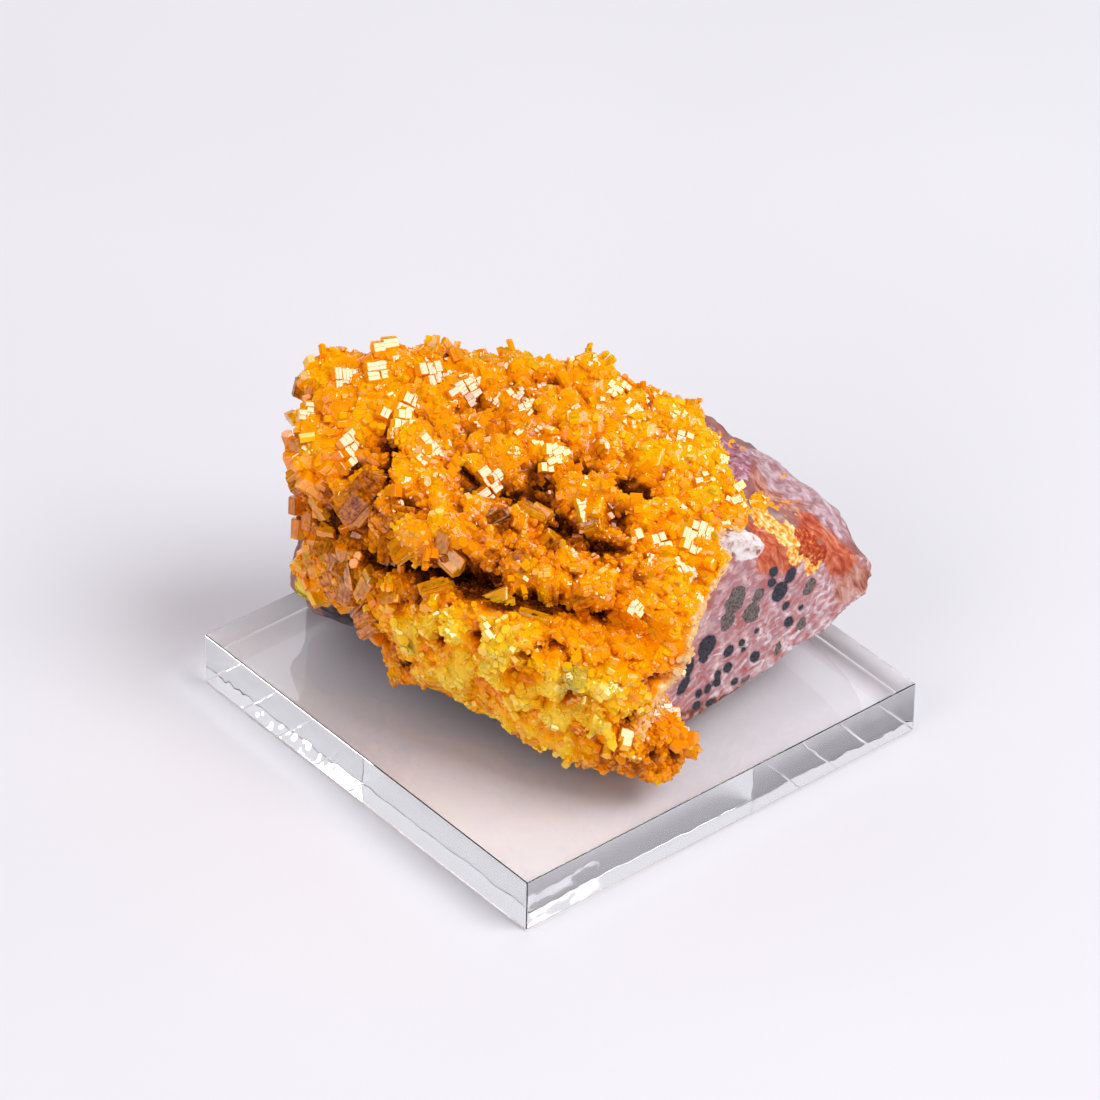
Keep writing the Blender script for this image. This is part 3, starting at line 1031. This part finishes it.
def fine_crystals(rng):
    """The sugary cover: small single prisms close together, most of them low."""
    places, normals, _, depth_sunk = sites(SITES_FOR_FINE, rng)
    radii = 0.52 * rng.lognormal(0, 0.42, len(places)) * (1 - 0.15 * lobe(places))
    radii = np.clip(radii, 0.26, 1.4)
    keep = spread(places, radii * 1.55)
    places, normals, radii, depth_sunk = (values[keep] for values in (places, normals, radii, depth_sunk))
    count = len(places)
    axes = leaning(places, normals, 3.0, 0.7, 0.25, rng)
    fronts = rng.normal(0, 1, (count, 3))
    on_toe = (places[:, 0] > TOE_FROM) & (places[:, 2] < TOE_BELOW)
    lengths = radii * (rng.uniform(-0.2, 0.45, count) - 0.2 * lobe(places) + 0.8 * on_toe)
    tones = tone_at(places, depth_sunk) + rng.normal(0, 0.05, count)
    widths = rng.uniform(0.8, 1.25, count)
    slants = rng.uniform(-0.3, 0.3, (count, 2))
    return places, axes, fronts, radii, lengths, radii * 0.9, tones, widths, slants


def knot(foot, normal, size, members, sunk_here, rng):
    """A knot of parallel crystals that grew into each other, side by side and in steps."""
    lying = rng.uniform() < (0.75 if size < 1.3 else 0.95)
    along = unit(np.cross(normal, rng.normal(0, 1, 3)))
    if lying:
        front = unit(normal + rng.normal(0, 0.35, 3))
        axis = unit(np.cross(front, rng.normal(0, 1, 3)))
    else:
        axis = unit(normal + along * rng.uniform(0, 0.8))
        front = unit(np.cross(axis, rng.normal(0, 1, 3)))
    axis = unit(axis - front * (axis @ front)) * (1 if axis @ normal > 0 else -1)
    beside = np.cross(front, axis)
    length = size * rng.uniform(1.1, 2.1)
    tone = rng.normal(0, 0.06)
    rows = []
    for k in range(members):
        own = size * rng.uniform(0.6, 1.1)
        wide = rng.uniform(0.85, 1.3)
        x = 0 if k == 0 else rng.uniform(-1.8, 1.8) * size
        z = 0 if k == 0 else rng.uniform(-0.9, 0.9) * length
        out = (rng.uniform(-0.35, 0.25) if lying else 0) * size - 0.30 * size
        base = foot + beside * x + axis * z + normal * out - (axis * length * 0.5 if lying else 0)
        rows.append((base, unit(axis + rng.normal(0, 0.012, 3)), front, own,
                     length * rng.uniform(0.6, 1.1), 0.0 if lying else own, sunk_here,
                     tone + rng.normal(0, 0.05), wide,
                     rng.uniform(-0.15, 0.15, 2) * (rng.uniform() < 0.4)))
    return rows


def bricks(foot, normal, size, sunk_here, places, rng):
    """A knot of crystals whose sides lie in one plane, like laid bricks, and flash together."""
    front = unit(np.array(FLASH_FACES) + rng.normal(0, 0.03, 3))
    axis = unit(np.cross(front, rng.normal(0, 1, 3)))
    beside = np.cross(front, axis)
    tone = rng.normal(0, 0.04)
    rows = []
    for course in (-1, 0, 1):
        slipped = rng.uniform(-0.5, 0.5)
        for place in (-1.5, -0.5, 0.5, 1.5):
            if rng.uniform() < 0.04 + 0.14 * abs(course) + 0.12 * abs(place):
                continue
            own = size * rng.uniform(0.92, 1.08)
            length = size * rng.uniform(1.2, 1.9)
            middle = (foot + beside * (place * 1.10 + slipped) * size
                      + axis * (course + rng.uniform(-0.12, 0.12)) * size * 1.6 + normal * 0.25 * size)
            if from_place(places, middle).min() > 1.1 * size:
                continue
            middle -= front * (0.866 * own - size * rng.uniform(0.15, 0.40))
            rows.append((middle - axis * length / 2, axis, front, own, length, 0.0, sunk_here,
                         tone + rng.normal(0, 0.04), rng.uniform(1.02, 1.16), np.zeros(2)))
    return rows


def columns(rows):
    """Rows of crystals as the columns that prisms() takes, without those that stand too tall."""
    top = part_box("mimetite_crust")[1].z / MM + TALLEST
    rows = [row for row in rows if (row[0] + row[1] * row[4])[2] + 0.5 * row[3] < top]
    feet, axes, fronts, radii, lengths, roots, depths, shifts, widths, slants = (
        np.array(column) for column in zip(*rows))
    tones = tone_at(feet, depths - SUNK_FROM) + shifts
    return feet, axes, fronts, radii, lengths, roots, tones, widths, slants


def knots(rng):
    """Knots all over the crust."""
    places, normals, depth_in, depth_sunk = sites(SITES, rng)
    good = (depth_in > 1.2) & (depth_sunk < 3.2)
    places, normals, depth_sunk = places[good], normals[good], depth_sunk[good]
    sizes = (0.86 + 0.75 * left_end(places)) * rng.lognormal(0, 0.32, len(places))
    sizes = np.clip(sizes, 0.45, 2.2)
    keep = spread(places, sizes * 2.9)
    rows = []
    for i in keep:
        rows += knot(places[i], normals[i], sizes[i], rng.integers(2, 7), depth_sunk[i], rng)
    return columns(rows)


def flashes(rng):
    """The knots that flash: the large ones at their places and small ones in between."""
    places, normals, _, depth_sunk = sites(SITES, rng)
    facing = normals @ unit(FLASH_FACES)
    rows = []
    for place, size in FLASHES:
        i = np.argmin(from_place(places, place) - facing)
        rows += bricks(places[i], normals[i], size, depth_sunk[i], places, rng)
    open_ones = np.flatnonzero((facing > 0.5) & (depth_sunk < 2))
    for i in rng.choice(open_ones, SMALL_FLASHES, replace=False):
        rows += bricks(places[i], normals[i], rng.uniform(0.35, 0.7), depth_sunk[i], places, rng)
    return columns(rows)


def blocks(rng):
    """The large blocks, each rooted in the crust at its nearest place."""
    places, normals, _, _ = sites(SITES, rng)
    rows = []
    for place, radius, length, lean, toward in BLOCKS:
        radius *= BLOCK_SCALE
        i = np.argmin(from_place(places, place))
        lean, toward = math.radians(lean), math.radians(toward)
        across = np.array((math.cos(lean), SIGHT[2] * math.sin(lean), -SIGHT[1] * math.sin(lean)))
        axis = unit(across * math.cos(toward) + SIGHT * math.sin(toward))
        front = unit(SIGHT + np.array((-0.5, 0, 0.5)) + rng.normal(0, 0.25, 3))
        base = places[i] - axis * length * 0.5 - normals[i] * radius * 0.45
        shift = rng.normal(0, 0.04)
        for share in BLOCK_SHARES:
            first = share == BLOCK_SHARES[0]
            aside, ahead = (0, 0) if first else rng.uniform(-0.9, 0.9, 2) * radius
            own = (base + np.cross(front, axis) * aside + front * ahead * 0.5
                   + axis * length * rng.uniform(-0.2, 0.25))
            rows.append((own, unit(axis + rng.normal(0, 0.03, 3)), front, radius * share,
                         length * (0.5 + 0.5 * share), 0.3 * radius, 1.0,
                         shift + BLOCK_TONE + rng.normal(0, 0.07), rng.uniform(0.85, 1.25),
                         rng.uniform(-0.35, 0.35, 2)))
    return columns(rows)


rng = np.random.default_rng(CRYSTAL_SEED)
fine = fine_crystals(rng)
place = fine[0]
lower = place[:, 2] + 0.25 * place[:, 1] < LOBE_BELOW
left = place[:, 0] < LEFT_OF
glassy = mimetite("mimetite_glassy", 0.0, 0.1, 0.08, 0.30)
for name, part, finish in (("mimetite_druse_left", ~lower & left, glassy),
                           ("mimetite_druse_right", ~lower & ~left, glassy),
                           ("mimetite_druse_lobe", lower, sugar)):
    lots = shared_out(1, 1.0, (0.10, 0.22, 0.35, 0.16, 0.28), rng, [values[part] for values in fine])
    crystal_piece(name, lots, finish)

prism = mimetite("mimetite_prisms", 0.0, 0.20, 0.08, 0.32)
medium = knots(rng)
stout = medium[3] > STOUT_FROM
for name, strips, part in (("mimetite_prisms", 1, ~stout), ("mimetite_stout_prisms", 2, stout)):
    lots = shared_out(strips, 0.3, (0.08, 0.12, 0.10, 0.16, 0.08, 0.20), rng,
                      [values[part] for values in medium])
    crystal_piece(name, lots, prism)

facets = mimetite("mimetite_bright_faces", 0.0, 0.15, 0.14, 0.34)
crystal_piece("mimetite_flashes", shared_out(3, 0.1, (0.05, 0.07, 0.10), rng, flashes(rng)), facets)

amber = mimetite("mimetite_blocks", 0.25, 0.16, 0.10, 0.25, 0.9)
crystal_piece("mimetite_blocks", shared_out(3, 0.35, (0.07, 0.12, 0.18), rng, blocks(rng)), amber)


# ======================================================================================
# The table and light of the studio: a pale floor, one large soft light from the front right
# above, a weaker one from the left, and white cards behind that are only seen mirrored.
# ======================================================================================
FLOOR_SIDE = 8.0
FLOOR_DROP = 0.0002
FLOOR_CLOUDS = 1 / 6


def floor_mesh():
    """One large flat square."""
    bm = bmesh.new()
    bmesh.ops.create_grid(bm, x_segments=1, y_segments=1, size=FLOOR_SIDE / 2)
    mesh = bpy.data.meshes.new("floor")
    bm.to_mesh(mesh)
    bm.free()
    return mesh


def pale_floor():
    """A sheet of matt pale laminate: even and nearly white."""
    made, tree, output = new_material("matt_laminate")
    place = add(tree, "TexCoord", out="Object")
    cloud = add(tree, "TexNoise", {"Vector": place, "Scale": 1 / FLOOR_CLOUDS, "Detail": 2.0})
    colour = add(tree, "ValToRGB", {"Fac": cloud}, ((0.3, "#DDDCE1"), (0.7, "#E1E0E5")))
    shader = add(tree, "BsdfPrincipled", {"Base Color": colour, "Roughness": 0.75,
                                          "Specular IOR Level": 0.2})
    tree.links.new(shader, output.inputs["Surface"])
    return made


floor = bpy.data.objects.new("floor", floor_mesh())
bpy.context.scene.collection.objects.link(floor)
floor.data.materials.append(pale_floor())
floor.location.z = -FLOOR_DROP

VIEW_TURN = math.radians(-49.23)
VIEW_HEIGHT = math.radians(36.66)
VIEW_ROLL = math.radians(1.344)
SLAB_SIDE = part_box("acrylic_base")[1].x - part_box("acrylic_base")[0].x
VIEW_AT = Vector((-0.406, 0.3187, 0)) * SLAB_SIDE
VIEW_FROM = 15.708 * SLAB_SIDE
LENS = 251.74

ahead = Vector((math.sin(VIEW_TURN) * math.cos(VIEW_HEIGHT),
                math.cos(VIEW_TURN) * math.cos(VIEW_HEIGHT), -math.sin(VIEW_HEIGHT)))
level = ahead.cross(Vector((0, 0, 1))).normalized()
above = level.cross(ahead)
right = level * math.cos(VIEW_ROLL) + above * math.sin(VIEW_ROLL)
top = above * math.cos(VIEW_ROLL) - level * math.sin(VIEW_ROLL)
camera = bpy.data.objects.new("camera", bpy.data.cameras.new("camera"))
bpy.context.scene.collection.objects.link(camera)
camera.data.lens = LENS
camera.data.sensor_width = 36
camera.matrix_world = Matrix((
    (right.x, top.x, -ahead.x, 0), (right.y, top.y, -ahead.y, 0), (right.z, top.z, -ahead.z, 0),
    (0, 0, 0, 1)))
camera.location = VIEW_AT - ahead * VIEW_FROM
bpy.context.scene.camera = camera


def soft_light(name, toward, distance, width, height, brightness, colour="#FFFFFF",
               shine_only=False, through_slab=True):
    """A rectangular soft light. `toward` is right, away and up as the viewer stands.

    One that is for shine only is seen mirrored in surfaces, and neither lights things nor shows
    through the slab.
    """
    flat = Vector((ahead.x, ahead.y, 0)).normalized()
    way = (level * toward[0] + flat * toward[1] + Vector((0, 0, toward[2]))).normalized()
    lamp = bpy.data.lights.new(name, "AREA")
    lamp.shape = "RECTANGLE"
    lamp.size, lamp.size_y = width, height
    lamp.energy = brightness * math.pi * width * height
    lamp.color = linear(colour)[:3]
    made = bpy.data.objects.new(name, lamp)
    bpy.context.scene.collection.objects.link(made)
    made.location = way * distance
    made.rotation_euler = way.to_track_quat("Z", "Y").to_euler()
    made.visible_diffuse = not shine_only
    made.visible_transmission = through_slab and not shine_only


soft_light("key_light", (0.60, -0.22, 0.84), 2.0, 1.2, 1.0, 7.1)
soft_light("left_card", (-0.60, -0.60, 0.60), 2.0, 1.2, 1.0, 2.4, "#FFF4EE", through_slab=False)
soft_light("back_card", (0.0, 1.0, 0.80), 2.4, 2.6, 1.1, 1.5, shine_only=True)
soft_light("back_left_card", (-0.32, 1.0, 0.80), 2.39, 1.3, 1.1, 0.8, "#FFF8F2", shine_only=True)

# The room's own brightness: all round, as seen through the slab, and as mirrored in things.
ROOM_COLOUR = "#F4F3F8"
ROOM = 0.68
ROOM_THROUGH_SLAB = 0.95
ROOM_MIRRORED = 0.03

world = bpy.data.worlds.new("studio")
bpy.context.scene.world = world
world.use_nodes = True
sky = world.node_tree
ray = add(sky, "LightPath").node.outputs
seen_through = ray["Is Transmission Ray"]
outside_slab = add(sky, "Math", {0: 1.0, 1: seen_through}, operation="SUBTRACT")
mirrored = add(sky, "Math", {0: ray["Is Glossy Ray"], 1: outside_slab}, operation="MULTIPLY")
room = add(sky, "MapRange", {"Value": seen_through, "To Min": ROOM, "To Max": ROOM_THROUGH_SLAB})
strength = add(sky, "Mix", {0: mirrored, 2: room, 3: ROOM_MIRRORED}, data_type="FLOAT")
sky.nodes["Background"].inputs["Color"].default_value = linear(ROOM_COLOUR)
sky.links.new(strength, sky.nodes["Background"].inputs["Strength"])
bpy.context.scene.view_settings.view_transform = "Standard"

# Light keeps its way through the clear slab: it isn't blurred there, and isn't cut off
# after a few of its many inner reflections.
bpy.context.scene.cycles.blur_glossy = 0.0
bpy.context.scene.cycles.glossy_bounces = 12
